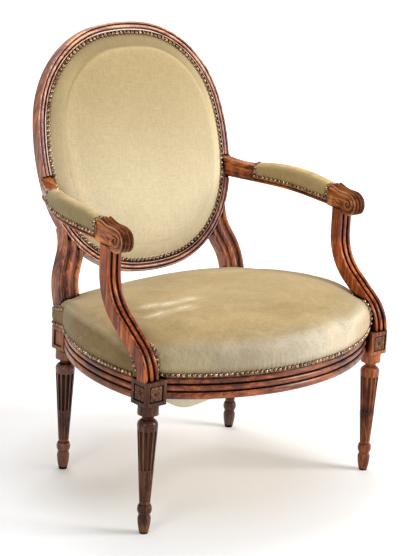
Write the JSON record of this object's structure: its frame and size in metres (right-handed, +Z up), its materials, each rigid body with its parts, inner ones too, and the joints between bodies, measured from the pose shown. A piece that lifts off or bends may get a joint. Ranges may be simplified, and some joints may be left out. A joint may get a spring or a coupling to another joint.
{
  "type": "medallion back armchair",
  "caption": "Armchair with a turned and fluted wooden frame, bowed seat rails, S-shaped arm stumps, scrolled padded arms and an oval upholstered back.",
  "frame": {"origin": "on the floor, at the middle of the chair's outline seen from above", "axes": "+X to the right seen from the front, +Y to the back, +Z up; the chair faces -Y"},
  "size_m": [0.687, 0.6755, 0.9611],
  "materials": {
    "walnut": "waxed and worn",
    "joinery_wood": "plain",
    "olive_velvet": "short pile, worn",
    "stuffing": "matte",
    "webbing": "matte",
    "canvas": "matte",
    "cream_cloth": "matte"
  },
  "bodies": {
    "root": {"front_leg_left": "walnut", "front_leg_right": "walnut", "rear_post_left": "walnut", "rear_post_right": "walnut", "front_rail": "walnut", "side_rail_left": "walnut", "side_rail_right": "walnut", "rear_rail": "walnut", "medallion_crest": "walnut", "medallion_foot": "walnut", "medallion_stile_left": "walnut", "medallion_stile_right": "walnut", "arm_stump_left": "walnut", "arm_stump_right": "walnut", "arm_left": "walnut", "arm_right": "walnut", "joint_pegs": "joinery_wood", "back_dowels": "joinery_wood", "seat_cover": "olive_velvet", "back_cover_front": "olive_velvet", "arm_pad_cover_left": "olive_velvet", "arm_pad_cover_right": "olive_velvet", "back_cover_rear": "olive_velvet", "seat_stuffing": "stuffing", "back_stuffing": "stuffing", "arm_pad_stuffing_left": "stuffing", "arm_pad_stuffing_right": "stuffing", "seat_webbing": "webbing", "back_webbing": "webbing", "seat_canvas": "canvas", "back_canvas": "canvas", "seat_bottom_cloth": "cream_cloth"}
  },
  "joints": []
}
